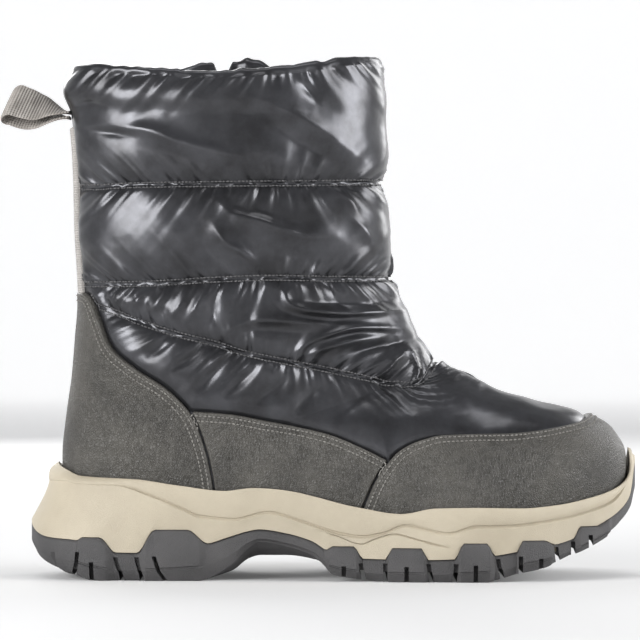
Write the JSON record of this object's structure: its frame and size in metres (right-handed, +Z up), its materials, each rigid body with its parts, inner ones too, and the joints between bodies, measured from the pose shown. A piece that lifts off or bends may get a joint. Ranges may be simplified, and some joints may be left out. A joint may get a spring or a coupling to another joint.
{
  "type": "quilted winter boot",
  "caption": "Mid-calf winter boot with a quilted nylon shaft, leather heel counter and toe cap, side zip, pull loop and a lugged two-part sole.",
  "frame": {"origin": "flat spot under the heel, on the floor, in the middle of the heel", "axes": "+X towards the toe, +Y towards the inner side of the foot, +Z up"},
  "size_m": [0.2949, 0.1112, 0.236],
  "materials": {
    "nylon": "glossy quilted nylon",
    "leather": "matte, worn look",
    "webbing": "matte weave",
    "coil": "matte",
    "metal": "dark satin",
    "felt": "matte felt",
    "foam": "matte moulded foam",
    "rubber": "matte"
  },
  "bodies": {
    "boot": {"upper": "nylon", "heel_counter": "leather", "toe_cap": "leather", "side_panel_outer": "leather", "side_panel_inner": "leather", "backstay": "webbing", "pull_loop": "webbing", "zip_tape": "webbing", "zip_chain": "coil", "zip_slider": "metal", "insole": "felt", "midsole": "foam", "outsole": "rubber"},
    "pull_tab": {"zip_pull_tab": "metal"}
  },
  "joints": [
    {"name": "pull_tab_swing", "type": "hinge", "parent": "boot", "child": "pull_tab", "pos_m": [0.0374, 0.05148, 0.213], "axis": [1, 0, 0], "range_deg": [0, 170]}
  ]
}
